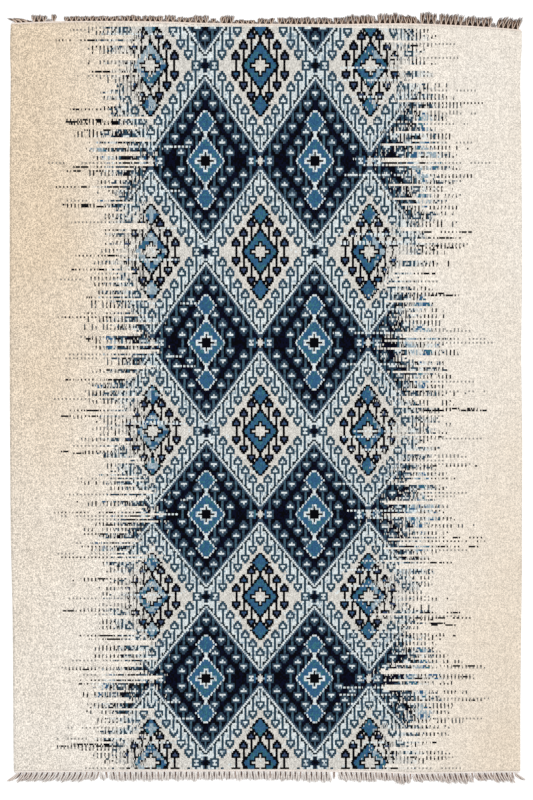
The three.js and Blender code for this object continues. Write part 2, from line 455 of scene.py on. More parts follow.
lightKind = {
    "outerRing": [(0, 31), (5, 26), (10, 21), (15, 16), (20, 10), (25, 5)],
    "innerRing": [(6, 15), (11, 10), (16, 5)],
    "stem": "tealLine", "ringLine": "tealLine", "ringFill": "white", "ringFillHalf": 1.5,
    "ringGround": "white",
    "innerStem": "black", "innerLine": "black", "innerFill": "violet", "innerFillHalf": 1.5,
    "diamondLine": "black", "diamondLineWidth": 2, "diamondFill": "blue",
    "starLine": "black", "star": "ground",
}
darkKind = {
    "outerRing": [(0, 32), (5, 27), (10, 21), (15, 16), (20, 11), (25, 6)],
    "innerRing": [(6, 15), (11, 10), (16, 5)],
    "stem": "stem", "ringLine": "slate", "ringFill": "white", "ringFillHalf": 2,
    "ringGround": "navy",
    "innerStem": "stem", "innerLine": "slate", "innerFill": "white", "innerFillHalf": 2,
    "diamondLine": "white", "diamondLineWidth": 1, "diamondFill": "blue",
    "starLine": "white", "star": "black",
}


# How far a column or row lies from the middle of the nearest light medallion.
def foldBack(count, half):
    return np.abs((count + half) % (2 * half) - half)


# The lattice of light and dark medallions, a number of the palette for every stitch.
def drawLattice(column, row, settings):
    halfAcross = settings["halfAcross"]
    halfAlong = settings["halfAlong"]
    edgeReach = settings["edgeReach"]
    across, along = np.broadcast_arrays(foldBack(column, halfAcross), foldBack(row, halfAlong))
    reach = across + along
    side = halfAcross - across
    end = halfAlong - along
    light = reach < edgeReach
    chart = np.where(light, paletteNumber["ground"], paletteNumber["navy"])
    drawMedallion(chart, light, across, along, lightKind, settings)
    drawMedallion(chart, ~light, side, end, darkKind, settings)

    def paint(mask, name):
        chart[mask] = paletteNumber[name]

    # the stepped line between the medallions, beaded on its light side and lined on its dark side
    beat = np.floor(along + 0.5) % 5
    past = reach - edgeReach
    paint((past >= -2.5) & (past < -1.5) & (beat == 2), "bead")
    paint((past >= -1.5) & (past < 0), "bead")
    paint((past >= -1.5) & (past < -0.5) & (beat == 4), "white")
    paint((past >= 0) & (past < 1.5), "white")
    paint((past >= 1.5) & (past < 3), "lining")
    # where two light medallions meet
    paint((side < 3.5) & (along <= 1), "slate")
    paint((side < 1.5) & (along <= 3), "slate")
    paint((side < 2) & (along <= 1), "navy")
    paint((side < 3) & (along == 0), "navy")
    paint((side < 0.5) & (along <= 3), "navy")
    # where two dark medallions meet
    paint((across < 4) & (across > 3) & (end <= 2), "blue")
    paint((across < 3) & (end <= 2), "navy")
    paint((across < 3) & (end == 0), "paleBlue")
    paint((across < 1.5) & (end <= 1), "ground")
    paint((across < 0.5) & (end <= 2), "ground")
    paint((across < 1.5) & (end >= 3) & (end <= 4), "lining")
    # the tip inside each apex
    paint((across < 0.75) & (past >= -3.5) & (past < -0.5) & light, "stem")
    return chart


# How the dyed rows give out towards the two long edges, in columns from the pattern's axis:
# where stitches start to go, where bare rows begin, where only ticks are left, how far rows of
# each kind run, and where the blues are washed out.
fadeSettings = {
    "seed": 41,
    "sway": 7,
    "swayRows": 14,
    "left": {"soft": 60, "bare": (74, 96), "thin": (93, 106), "bars": (101, 118), "runs": (108, 136),
             "wash": 52},
    "right": {"soft": 66, "bare": (82, 112), "thin": (102, 118), "bars": (111, 134), "runs": (119, 149),
              "wash": 74},
    "shares": (0.44, 0.28, 0.28),    # of bars, dashes and dots
    "barRows": (2, 2, 3),
    "bareRows": (1, 1, 1, 2, 3),
    "bareShare": 0.45,               # how often a single row has a bare one after it
    "bareReach": 12,                 # how much further in bare rows reach between the light medallions
    "tickColumns": 2.5,
    "tickHalf": 0.2,
    "washedShare": 0.55,
    "charcoalFrom": 24,              # columns past the wash, where black turns to charcoal
    "charcoalShare": 0.55,
    "barShare": (0.94, 0.4),         # how many of its ticks a bar row has, and how many it loses by its end
    "dashShare": 0.26,
    "tickShare": 0.85,
    "dotStrength": 0.8,
    "prickedShare": 0.06,
}


# Each row's band and kind (bars, dashes, dots or bare), and the columns where it thins and ends.
def fadeRows(random, row, side, settings):
    count = len(row)
    band = np.zeros(count, dtype=int)
    kind = np.zeros(count, dtype=int)
    thin = np.zeros(count)
    end = np.zeros(count)
    place = 0
    isBare = False
    while place < count:
        chosen = 3 if isBare else random.choice(3, p=settings["shares"])
        tall = random.choice(settings["bareRows"]) if isBare else 1
        if chosen == 0:
            tall = random.choice(settings["barRows"])
        part = slice(place, place + tall)
        band[part] = place
        kind[part] = chosen
        thin[part] = random.uniform(*side["bare" if isBare else "thin"])
        end[part] = random.uniform(*side["bars" if chosen == 0 else "runs"])
        isBare = not isBare and (chosen == 0 or random.random() < settings["bareShare"])
        place += tall
    knots = np.arange(0, count + settings["swayRows"], settings["swayRows"])
    sway = np.interp(np.arange(count), knots, random.uniform(-1, 1, len(knots))) * settings["sway"]
    halfAlong = latticeSettings["halfAlong"]
    dark = 2 * foldBack(row, halfAlong) / halfAlong - 1    # 1 in the rows of the dark medallions
    sway += dark * 4 + random.uniform(-2, 2, count)
    thin -= np.where(kind == 3, settings["bareReach"] * dark, 0)
    return band, kind, thin + sway, end + sway


def drawFade(column, row, chart, settings):
    random = np.random.default_rng(settings["seed"])
    rowCount = len(row)
    strength = np.ones(chart.shape)
    colours = chart.copy()

    def isDye(*names):
        return np.isin(chart, [paletteNumber[name] for name in names])

    deep = isDye("black", "navy")
    pale = isDye("ground", "white", "paleBlue")
    # ticks of two warps in every five, in step with the stems
    pitch = settings["tickColumns"]
    tick = (np.abs(column) - 2 * latticeSettings["halfAcross"] + pitch / 2) / pitch
    cell = np.floor(tick).astype(int) - math.floor(tick.min())
    onTick = (np.abs(tick % 1 - 0.5) < settings["tickHalf"])[None, :]
    cells = cell.max() + 1
    for sign, name in ((-1, "left"), (1, "right")):
        side = settings[name]
        out = np.broadcast_to(column * sign, chart.shape)
        band, kind, thin, end = fadeRows(random, row, side, settings)
        kind = kind[:, None]
        thin = thin[:, None]
        end = end[:, None]
        fine = random.random(chart.shape)
        bar = random.random((rowCount, cells))[band][:, cell]
        run = np.repeat(random.random((rowCount, cells // 2 + 1)), 2, axis=1)[:, cell]
        # single stitches go over to pale wool first, then the warps between the ticks
        part = np.clip((out - side["soft"]) / np.maximum(thin - side["soft"], 12), 0, 1) ** 3
        lost = (fine < 0.22 * part + 0.03) | (~onTick & (bar < 0.5 * part))
        lost |= deep & ~onTick & (bar < 1.3 * part)
        lost &= out > side["soft"]
        colours[lost & ~pale] = paletteNumber["ground"]
        keep = np.where(lost | pale, 1 - 0.6 * part, 1)
        # slate and grey ticks cross what was pale
        ghost = pale & onTick & (bar > 0.3) & (part > 0.12) & (fine > 0.15) & (out > 0)
        keep = np.where(ghost, 0.42 + 0.5 * fine, keep)
        colours[ghost & (run < 0.5)] = paletteNumber["slate"]
        colours[ghost & (run >= 0.5)] = paletteNumber["grey"]
        # the blues wash out and the blacks turn to charcoal
        washed = isDye("blue", "teal") & (out > side["wash"]) & (bar < settings["washedShare"])
        colours[washed & ~lost] = paletteNumber["paleBlue"]
        greyed = deep & (out > side["wash"] + settings["charcoalFrom"]) & (fine < settings["charcoalShare"])
        colours[greyed & ~lost] = paletteNumber["charcoal"]
        # past that only bars, dashes and dots are left
        beyond = out > thin + 8 * (run - 0.5)
        far = np.clip((out - thin) / np.maximum(end - thin, 1), 0, 1)
        most, loss = settings["barShare"]
        bars = (kind == 0) & onTick & (bar < most - loss * far)
        ticks = onTick & (run < settings["tickShare"])
        dashes = (kind == 1) & ((run < settings["dashShare"]) | ticks)
        dots = (kind == 2) & ticks
        shown = (bars | dashes | dots) & (out < end) & ((fine > 0.12) | dots)
        shownStrength = np.where(dots, settings["dotStrength"], 1)
        keep = np.where(beyond, np.where(shown, shownStrength, 0), keep)
        mixed = beyond & shown
        colours[mixed] = paletteNumber["black"]
        colours[mixed & ((bar < 0.3) | (far > 0.45))] = paletteNumber["charcoal"]
        colours[mixed & (dots | (bars & ~deep & (bar < 0.5)))] = paletteNumber["grey"]
        strength = np.where(out > side["soft"], keep, strength)
        # now and then a row is pricked with white stitches well inside
        depth = random.uniform(4, 18, rowCount) * (random.random(rowCount) < settings["prickedShare"])
        depth = depth[:, None]
        pricked = (depth > 0) & (out > side["soft"] - depth) & (out <= thin) & ~onTick & (run < 0.75)
        colours[pricked] = paletteNumber["white"]
    return colours, strength


# Dye lots and uneven spinning, a stitch at a time.
def mottle(colours, seed):
    random = np.random.default_rng(seed)
    rowCount, warpCount = colours.shape
    draw = np.repeat(random.random((rowCount, warpCount // 2)), 2, axis=1)
    lot = np.repeat(random.random((rowCount // 3 + 1, warpCount // 20)), 3, axis=0)[:rowCount]
    lot = np.repeat(lot, 20, axis=1)[:, :warpCount]
    mixed = colours.copy()
    for name, other, share in dyeLots:
        chosen = (colours == paletteNumber[name]) & (0.7 * draw + 0.3 * lot < share)
        mixed[chosen] = paletteNumber[other]
    return mixed


# A number that holds both the palette place and how much of the dye is left.
def encode(colours, strength):
    level = np.clip(np.rint(strength * (dyeLevels - 1)), 0, dyeLevels - 1)
    return (colours * dyeLevels + level + 0.5) / (dyeLevels * len(palette))


def chartStitches(settings):
    warps = (settings["rightColumn"] - settings["leftColumn"]) * warpsPerColumn
    column = settings["leftColumn"] + (np.arange(warps) + 0.5) / warpsPerColumn
    row = np.arange(settings["firstRow"], settings["lastRow"] + 1, dtype=float)
    lattice = drawLattice(column[None, :], row[:, None], latticeSettings)
    colours, strength = drawFade(column, row, mottle(lattice, settings["dyeSeed"]), fadeSettings)
    hem = settings["hemRows"]
    colours = np.pad(colours, ((hem, hem), (0, 0)), constant_values=paletteNumber["field"])
    strength = np.pad(strength, ((hem, hem), (0, 0)), constant_values=0)
    return encode(colours, strength)


# Where the corners of the faces lie: across and along the rug.
def layCorners(settings):
    rows = np.arange(settings["firstRow"] - 0.5, settings["lastRow"] + 1, rowsPerFace)
    columns = np.arange(settings["leftColumn"], settings["rightColumn"] + 1, columnsPerFace, dtype=float)
    free = settings["freeColumns"]
    level = readTable(rowPlaces, 1, rows)
    measured = np.clip(level, columnWidths[0][0], columnWidths[-1][0])
    width = readTable(columnWidths, 1, measured)
    across = settings["patternAxis"] + width[:, None] * np.clip(columns, -free, free)[None, :]
    leftPart = np.clip((-columns - free) / (-settings["leftColumn"] - free), 0, 1)
    rightPart = np.clip((columns - free) / (settings["rightColumn"] - free), 0, 1)
    across += leftPart[None, :] * (leftAt(level)[:, None] - across[:, :1])
    across += rightPart[None, :] * (rightAt(level)[:, None] - across[:, -1:])
    droopPart = np.clip(1 - np.arange(len(rows)) * rowsPerFace / settings["droopRows"], 0, 1) ** 1.3
    along = level[:, None] - readTable(topDroop, 1, across) * droopPart[:, None]
    # the plain hem at each end
    top = np.array([across[0], topAt(across[0]) - settings["inset"]])
    bottom = np.array([across[-1], bottomAt(across[-1]) + settings["inset"]])
    across = np.vstack([top[:1], across, bottom[:1]])
    along = np.vstack([top[1:], along, bottom[1:]])
    return across, along


# The corners of the grid that lie on the outline, in order round the cloth.
def walkRound(rows, columns):
    ring = [(0, index) for index in range(columns - 1)]
    ring += [(index, columns - 1) for index in range(rows - 1)]
    ring += [(rows - 1, index) for index in range(columns - 1, 0, -1)]
    ring += [(index, 0) for index in range(rows - 1, 0, -1)]
    return np.array(ring).T


# Both faces, and the outline halfway up, which is the widest line round the cloth.
def layFaces(across, along, ringRows, ringColumns, settings):
    thickness = settings["thickness"]
    wave = np.sin(across / 211 + along / 333) + np.sin(along / 187 - across / 409 + 1.3)
    top = thickness + settings["unevenness"] * wave
    under = np.zeros(across.shape)
    top[:, [0, -1]] = thickness * (1 - settings["edgeDrop"])
    under[:, [0, -1]] = thickness * settings["edgeDrop"]
    outline = np.column_stack([across[ringRows, ringColumns], along[ringRows, ringColumns],
                               np.full(len(ringRows), thickness * 0.5)])
    innerAcross = across.copy()
    innerAlong = along.copy()
    innerAcross[:, 0] += settings["edgeRound"]
    innerAcross[:, -1] -= settings["edgeRound"]
    innerAlong[0] -= settings["endRound"]
    innerAlong[-1] += settings["endRound"]
    topPoints = np.stack([innerAcross, innerAlong, top], axis=-1).reshape(-1, 3)
    underPoints = np.stack([innerAcross, innerAlong, under], axis=-1).reshape(-1, 3)
    return np.vstack([topPoints, underPoints, outline])


# The faces on top, those underneath, and the two rows of faces that close the edge.
def joinFaces(rows, columns, ringRows, ringColumns):
    grid = np.arange(rows * columns).reshape(rows, columns)
    corners = [grid[:-1, :-1], grid[1:, :-1], grid[1:, 1:], grid[:-1, 1:]]
    topFaces = np.stack(corners, axis=-1).reshape(-1, 4)
    underFaces = topFaces[:, ::-1] + rows * columns
    ringTop = grid[ringRows, ringColumns]
    ringUnder = ringTop + rows * columns
    ringMiddle = 2 * rows * columns + np.arange(len(ringRows))
    nextTop, nextUnder, nextMiddle = [np.roll(line, -1) for line in (ringTop, ringUnder, ringMiddle)]
    upper = np.stack([ringTop, nextTop, nextMiddle, ringMiddle], axis=-1)
    lower = np.stack([ringMiddle, nextMiddle, nextUnder, ringUnder], axis=-1)
    return topFaces, underFaces, np.vstack([upper, lower])


# Each point's place in the weave, in warps across and rows down the rug.
def placeStitches(rows, columns, ringRows, ringColumns):
    warp, row = np.meshgrid(np.arange(columns) * warpsPerFace, np.arange(rows) * rowsPerFace)
    stitch = np.stack([warp, row], axis=-1).astype(float)
    outward = np.column_stack([
        np.where(ringColumns == 0, -0.5, np.where(ringColumns == columns - 1, 0.5, 0)),
        np.where(ringRows == 0, -0.25, np.where(ringRows == rows - 1, 0.25, 0))])
    outer = stitch[ringRows, ringColumns] + outward
    stitch = stitch.reshape(-1, 2)
    return np.vstack([stitch, stitch, outer])


def buildCloth(settings):
    across, along = layCorners(settings)
    rows, columns = across.shape
    ringRows, ringColumns = walkRound(rows, columns)
    points = layFaces(across, along, ringRows, ringColumns, settings)
    topFaces, underFaces, edgeFaces = joinFaces(rows, columns, ringRows, ringColumns)
    cloth = newPiece("wovenCloth", points, np.vstack([topFaces, underFaces, edgeFaces]))
    mesh = cloth.data
    # one map for the weave and one to bake on
    corner = np.array([loop.vertex_index for loop in mesh.loops])
    stitch = placeStitches(rows, columns, ringRows, ringColumns)[corner]
    addMap(mesh, "stitches", stitch)
    size = np.array([(columns - 1) * warpsPerFace, (rows - 1) * rowsPerFace])
    margin = settings["bakeMargin"]
    spread = margin + (1 - 2 * margin) * stitch / size
    spread[:, 1] = 1 - spread[:, 1]
    addMap(mesh, "OFBake", np.clip(spread, 0, 1))
    # the chart, four warps of the upper row and four of the lower row to a face
    chart = chartStitches(settings).reshape(rows - 1, rowsPerFace, columns - 1, warpsPerFace)
    bare = encode(np.array(paletteNumber["field"]), np.array(0.0))
    edge = np.full((len(edgeFaces), warpsPerFace), bare)
    for part, name in enumerate(("upperStitches", "lowerStitches")):
        values = chart[:, part].reshape(-1, warpsPerFace)
        addNumbers(mesh, name, "FACE", np.vstack([values, values, edge]))
    return cloth


clothLook = {
    "lightLevel": 0.87,
    # painted light and shade: the field goes from paleField to the darker warmField towards the sides, as
    # the warmths say
    "warmField": (224, 205, 180),
    "paleField": (234, 227, 217),
    "fieldEnds": (1.17, -1.17),                 # metres along the rug
    "leftReach": (-0.75, -0.25),                # metres across it, where the warmth of a side ends
    "rightReach": (0.3, 0.8),
    "leftWarmth": (0.25, 0.95, 1.0, 0.1),       # from where to where down the rug, and how warm at each
    "rightWarmth": (0.3, 1.0, 0.2, 0.62),
    "cloudSize": 3.5,
    "cloudWarmth": 0.5,
    "speck": (0.92, 0.6),                       # at the left edge and at the right
    "streak": 0.15,
    # painted shade on every second warp, and a painted shadow a few warps wide along the left edge
    "pairShade": -0.06,                         # on every second warp
    "leftEdgeShadow": -0.1,
    "leftEdgeShadowWarps": 2.5,
    "reliefStrength": 0.5,
    "reliefDepth": 0.0005,
}


# How warm the bare field is, from the position over the rug: painted light and shade that leaves it darker
# and warmer down the left side towards the top and down the right side towards the bottom, with cloudy
# patches that differ at random.
def fieldTone(tree, look):
    position = tree.nodes.new("ShaderNodeTexCoord").outputs["Object"]
    place = separate(tree, position)
    down = mapRange(tree, place[1], *look["fieldEnds"], 0.0, 1.0)
    leftWarmth = mapRange(tree, down, *look["leftWarmth"], smooth=True)
    rightWarmth = mapRange(tree, down, *look["rightWarmth"], smooth=True)
    leftPart = mapRange(tree, place[0], *look["leftReach"], 1.0, 0.0, smooth=True)
    rightPart = mapRange(tree, place[0], *look["rightReach"], 0.0, 1.0, smooth=True)
    warmth = doMath(tree, "MULTIPLY", leftWarmth, leftPart)
    warmth = doMath(tree, "ADD", warmth, doMath(tree, "MULTIPLY", rightWarmth, rightPart))
    cloudy = doMath(tree, "SUBTRACT", noise(tree, position, look["cloudSize"]), 0.5)
    cloudy = doMath(tree, "MULTIPLY", cloudy, look["cloudWarmth"])
    warmth = doMath(tree, "ADD", warmth, cloudy, clamp=True)
    level = look["lightLevel"]
    return mixColour(tree, warmth, dye(*look["paleField"], level), dye(*look["warmField"], level))


# The number that the cloth's two attributes hold for the stitch at this place.
def readStitch(tree, place):
    rowPart = doMath(tree, "FRACT", doMath(tree, "MULTIPLY", place[1], 1 / rowsPerFace))
    isLower = doMath(tree, "GREATER_THAN", rowPart, 0.5)
    warpPart = doMath(tree, "FRACT", doMath(tree, "MULTIPLY", place[0], 1 / warpsPerFace))
    warp = doMath(tree, "MULTIPLY", warpPart, warpsPerFace)
    rows = []
    for name in ("upperStitches", "lowerStitches"):
        node = tree.nodes.new("ShaderNodeAttribute")
        node.attribute_name = name
        rows.append(node)
    colour = mixColour(tree, isLower, rows[0].outputs["Color"], rows[1].outputs["Color"])
    fourth = mixValue(tree, isLower, rows[0].outputs["Alpha"], rows[1].outputs["Alpha"])
    split = tree.nodes.new("ShaderNodeSeparateColor")
    tree.links.new(colour, split.inputs[0])
    value = split.outputs[0]
    for limit, option in ((1.0, split.outputs[1]), (2.0, split.outputs[2]), (3.0, fourth)):
        value = mixValue(tree, doMath(tree, "GREATER_THAN", warp, limit), value, option)
    return value


# The palette's colours by their numbers.
def addRamp(tree, value, level):
    ramp = tree.nodes.new("ShaderNodeValToRGB")
    ramp.color_ramp.interpolation = "CONSTANT"
    stops = ramp.color_ramp.elements
    while len(stops) < len(palette):
        stops.new(0.5)
    for number, name in enumerate(palette):
        stops[number].position = number / len(palette)
        stops[number].color = dye(*palette[name], level)
    tree.links.new(value, ramp.inputs[0])
    return ramp.outputs[0]


def buildClothMaterial(look):
    material, tree, shader = newMaterial("wovenWool", 0.92, 0.02)
    stitches = tree.nodes.new("ShaderNodeUVMap")
    stitches.uv_map = "stitches"
    place = separate(tree, stitches.outputs[0])
    # the dye of each stitch over the bare field
    value = readStitch(tree, place)
    dyeLeft = doMath(tree, "FRACT", doMath(tree, "MULTIPLY", value, len(palette)))
    dyeLeft = mapRange(tree, dyeLeft, 0.5 / dyeLevels, (dyeLevels - 0.5) / dyeLevels, 0.0, 1.0)
    colour = mixColour(tree, dyeLeft, fieldTone(tree, look), addRamp(tree, value, look["lightLevel"]))
    # painted shade in the gaps of the weave and on every second warp, and a painted shadow along the left
    # selvedge
    relief = placeGroup(tree, weaveRelief, Vector=stitches.outputs[0], Passes=rowsPerFace)
    shade = doMath(tree, "MULTIPLY_ADD", relief["Gap"], -0.12, 1.06)
    pair = doMath(tree, "MODULO", doMath(tree, "FLOOR", place[0]), 2.0)
    shade = doMath(tree, "MULTIPLY_ADD", pair, look["pairShade"], shade)
    # painted shadow along the left edge
    leftEdgeShadowMask = doMath(tree, "LESS_THAN", place[0], look["leftEdgeShadowWarps"])
    shade = doMath(tree, "MULTIPLY_ADD", leftEdgeShadowMask, look["leftEdgeShadow"], shade)
    # grain
    across = separate(tree, tree.nodes.new("ShaderNodeTexCoord").outputs["Object"])[0]
    speck = mapRange(tree, across, -0.8, 0.8, *look["speck"])
    tone = placeGroup(tree, heather, Vector=stitches.outputs[0], Speck=speck, Streak=look["streak"])
    shade = doMath(tree, "MULTIPLY", shade, tone["Tone"])
    tree.links.new(shadeColour(tree, colour, shade), shader.inputs["Base Color"])
    normal = bump(tree, relief["Height"], look["reliefStrength"], look["reliefDepth"])
    tree.links.new(normal, shader.inputs["Normal"])
    return material


cloth = buildCloth(clothSettings)
cloth.data.materials.append(buildClothMaterial(clothLook))
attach(cloth, "root")
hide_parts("cloth")
print("cloth woven,", len(cloth.data.polygons), "faces")

# Tufts of knotted locks: where the roots begin and end, how far they reach and lean sideways,
# and how far apart the tips keep, where 1 is as far as the roots.
topTufts = [
    (-789, -741, 13, -24, 0.9), (-734, -687, 22, 0, 1), (-676, -653, 22, 1, 0.7), (-633, -460, 16, 2, 1),
    (-455, -391, 19, -2, 0.95), (-388, -323, 19, 2, 1), (-318, -283, 23, 0, 0.85), (-279, -232, 17, 4, 1),
    (-228, -180, 24, -1, 1), (-176, -153, 15, -3, 1), (-148, -102, 25, 4, 0.8), (-98, -34, 12, -4, 1),
    (-30, 24, 18, 3, 1), (33, 205, 22, 1, 1), (209, 243, 22, 3, 0.95), (247, 341, 28, -2, 1),
    (345, 427, 31, 2, 0.97), (431, 472, 25, -7, 1), (477, 533, 37, 2, 0.95), (538, 613, 34, 5, 1),
    (617, 705, 31, 3, 0.95), (716, 792, 34, 13, 0.95),
]
bottomTufts = [
    (-784, -768, 27, -29, 1), (-766, -650, 30, -22, 1), (-648, -562, 30, -17, 1), (-560, -526, 28, -10, 1),
    (-523, -507, 27, 6, 1), (-495, -461, 28, 4, 0.95), (-459, -340, 31, 1, 1), (-336, -215, 29, -2, 1),
    (-211, -100, 28, 0, 1), (-96, 10, 29, 2, 1), (14, 105, 29, -2, 1), (109, 203, 33, 1, 0.97),
    (220, 262, 29, 10, 1), (266, 340, 31, 3, 1), (344, 390, 27, 3, 1), (394, 448, 34, 6, 1),
    (452, 534, 26, 10, 1), (538, 640, 33, 11, 1), (644, 700, 26, 15, 1), (704, 764, 31, 16, 1),
    (770, 786, 25, 27, 1),
]

fringeSettings = {
    "seed": 12,
    "lockPitch": 16.4,
    "lockBend": 0.6,
    "reachUneven": 0.08, "reachTurn": 2.3, "leanUneven": 1.2, "leanTurn": 1.7,
    "endRoom": 17,         # as if another lock stood this far past the first and the last
    "mostRoom": 8.8,       # how far a lock spreads to each side at most
    "knotDepth": 1.5,
    "widening": ((0, 0.15, 0.4, 0.7, 1.0), (0.0, 0.2, 0.62, 0.95, 1.03)),
    "yarnsPerLock": 13,
    "yarnRadius": 0.85,
    "cordRadius": 1.4,
    "yarnHeights": ((1.0, 2.2), (1.5, 3.0)),    # low at the knot and tip, and high between, by layer
    "cordHeights": (2.6, 3.5),
    "gapHeights": (1.6, 2.4),
    "lowest": 0.62,
    "widestGap": 36,
    "tuftGap": 19,         # from here on two locks belong to different tufts
    "rings": 7,
    "stripWidth": 5.0,
    "stripInset": 2.5,
    "stripSteps": 420,
    "stripProfile": ((-2.78, 0.4), (-2.78, 3.55), (-1.3, 3.65), (0.2, 3.6),
                     (1.7, 3.2), (2.4, 2.2), (2.5, 0.6), (0, 0.05)),
    "cordingFrom": 2,      # the strip is corded above this height
    "cordingDepth": 0.1,
    "cordingTurn": 2.4,
    "bakeSpare": 60,       # leaves a free row of the bake map for the strip
    "bakeMargin": 0.08,
}


def layLocks(tufts, settings):
    locks = []
    for start, end, reach, lean, spread in tufts:
        count = max(1, math.floor((end - start) / settings["lockPitch"] + 0.5))
        room = (end - start) / count
        for index in range(count):
            root = start + room * (index + 0.5)
            turn = len(locks)
            uneven = 1 + settings["reachUneven"] * math.sin(turn * settings["reachTurn"])
            gathered = (spread - 1) * (root - (start + end) / 2)
            swayed = settings["leanUneven"] * math.sin(turn * settings["leanTurn"])
            locks.append({"root": root, "reach": reach * uneven, "lean": lean + gathered + swayed})
    return locks


# A yarn as a slim four-sided tube along its path, thinner at its two ends. Its tone is how pale
# it is and how much painted shade it takes.
def addYarn(parts, path, radius, tone):
    count = len(path)
    heading = np.gradient(path, axis=0)
    heading /= np.linalg.norm(heading, axis=1, keepdims=True)
    beside = np.cross(heading, [0.0, 0.0, 1.0])
    beside /= np.linalg.norm(beside, axis=1, keepdims=True)
    above = np.cross(beside, heading)
    part = np.linspace(0, 1, count)
    wide = radius * (0.75 + 0.25 * np.sin(part * math.pi))
    wide[-1] *= 0.5
    ring = []
    for turn in range(4):
        angle = math.pi * (0.25 + 0.5 * turn)
        aside = beside * (wide * math.cos(angle))[:, None]
        upward = above * (wide * math.sin(angle))[:, None]
        ring.append(path + aside + upward)
    parts["points"].append(np.stack(ring, axis=1).reshape(-1, 3))
    pale, shaded = np.broadcast_to(np.array(tone)[:, None], (2, count * 4))
    parts["tones"].append(np.column_stack([pale, shaded, np.repeat(part, 4), np.ones(count * 4)]))
    steps = np.linalg.norm(np.diff(path, axis=0), axis=1)
    parts["lengths"].append(np.concatenate([[0], np.cumsum(steps)]))


# The faces round the tubes, then those at their roots and at their tips.
def joinYarns(yarns, rings):
    first = np.arange(yarns)[:, None, None] * rings * 4
    ring = first + np.arange(rings - 1)[None, :, None] * 4
    turn = np.arange(4)[None, None, :]
    beside = (turn + 1) % 4
    sides = [ring + turn, ring + beside, ring + 4 + beside, ring + 4 + turn]
    roots = first[:, :, 0] + np.array([3, 2, 1, 0])
    tips = first[:, :, 0] + (rings - 1) * 4 + np.array([0, 1, 2, 3])
    return np.vstack([np.stack(sides, axis=-1).reshape(-1, 4), roots, tips])


# The tubes opened flat: by their real length for the twist, and as one small rectangle each to bake on.
def openYarns(lengths, grid, margin):
    yarns, rings = lengths.shape
    shape = (yarns, rings - 1, 4, 4)
    turn = np.arange(4)[None, None, :, None]
    ring = np.arange(rings - 1)[None, :, None, None]
    turnCorner = np.broadcast_to(np.array([0, 1, 1, 0]) + turn, shape) / 4
    ringCorner = np.broadcast_to(np.array([0, 0, 1, 1]) + ring, shape)
    lengthCorner = np.take_along_axis(lengths[:, None, None, :], ringCorner, axis=3)
    twist = np.stack([turnCorner, lengthCorner / 4], axis=-1).reshape(-1, 2)
    cell = np.arange(yarns)
    column = (cell % grid)[:, None, None, None]
    row = (cell // grid)[:, None, None, None]
    across = (column + margin + (1 - 2 * margin) * turnCorner) / grid
    along = (row + margin + (1 - 2 * margin) * ringCorner / (rings - 1)) / grid
    spread = np.stack([across, along], axis=-1).reshape(-1, 2)
    # each end is a speck in the middle of its yarn's rectangle
    middle = np.stack([cell % grid + 0.5, cell // grid + 0.5], axis=-1) / grid
    speck = np.tile(np.array([[-1, -1], [1, -1], [1, 1], [-1, 1]]) * 0.02 / grid, (yarns, 1))
    ends = np.repeat(middle, 4, axis=0) + speck
    return np.vstack([twist, np.zeros((yarns * 8, 2))]), np.vstack([spread, ends, ends])


def buildYarnMesh(name, parts, strip, settings):
    lengths = np.array(parts["lengths"])
    points = np.vstack(parts["points"])
    grid = math.ceil(math.sqrt(len(lengths) + settings["bakeSpare"]))
    twist, spread = openYarns(lengths, grid, settings["bakeMargin"])
    stripPoints, stripFaces, stripTwist = strip
    stripTones = np.tile([1.0, 0.0, 0.0, 0.0], (len(stripPoints), 1))
    stripSpread = np.column_stack([stripTwist[:, 0] / stripTwist[:, 0].max(),
                                   1 - 0.9 * (1 - stripTwist[:, 1]) / grid - 0.05 / grid])
    faces = np.vstack([joinYarns(*lengths.shape), stripFaces + len(points)])
    fringe = newPiece(name, np.vstack([points, stripPoints]), faces)
    addMap(fringe.data, "twist", np.vstack([twist, stripTwist]))
    addMap(fringe.data, "OFBake", np.vstack([spread, stripSpread]))
    addNumbers(fringe.data, "yarnTone", "POINT", np.vstack(parts["tones"] + [stripTones]))
    return fringe


# The narrow bound strip that the locks grow from, rounded and lightly corded.
def buildStrip(edgeAt, outward, settings):
    inner = np.array(float(edgeAt(np.array(0.0))) - outward * settings["stripWidth"])
    left = float(leftAt(inner)) + settings["stripInset"]
    right = float(rightAt(inner)) - settings["stripInset"]
    count = settings["stripSteps"]
    across = np.linspace(left, right, count)
    middle = edgeAt(across) - outward * settings["stripWidth"] / 2
    cording = 1 + settings["cordingDepth"] * np.sin(np.arange(count) * settings["cordingTurn"])
    profile = settings["stripProfile"]
    rings = []
    for out, up in profile:
        height = up * (cording if up > settings["cordingFrom"] else np.ones(count))
        rings.append(np.column_stack([across, middle + outward * out, height]))
    points = np.stack(rings, axis=1).reshape(-1, 3)
    size = len(profile)
    ring = np.arange(count - 1)[:, None] * size
    turn = np.arange(size)[None, :]
    beside = (turn + 1) % size
    sides = [ring + turn, ring + size + turn, ring + size + beside, ring + beside]
    faces = np.stack(sides, axis=-1).reshape(-1, 4)
    shape = (count - 1, size, 4)
    turnCorner = np.broadcast_to(np.array([0, 0, 1, 1]) + turn[:, :, None], shape) / size
    ringCorner = np.broadcast_to(np.array([0, 1, 1, 0]) + np.arange(count - 1)[:, None, None], shape)
    twist = np.stack([ringCorner, turnCorner], axis=-1).reshape(-1, 2)
    # three faces close each end
    caps = np.array([[0, 7, 6, 5], [0, 5, 4, 3], [0, 3, 2, 1]])
    caps = np.vstack([caps[:, ::-1], caps + (count - 1) * size])
    if outward > 0:
        faces = faces[:, ::-1]
        caps = caps[:, ::-1]
        twist = twist.reshape(-1, 4, 2)[:, ::-1].reshape(-1, 2)
    return points, np.vstack([faces, caps]), np.vstack([twist, np.zeros((len(caps) * 4, 2))])


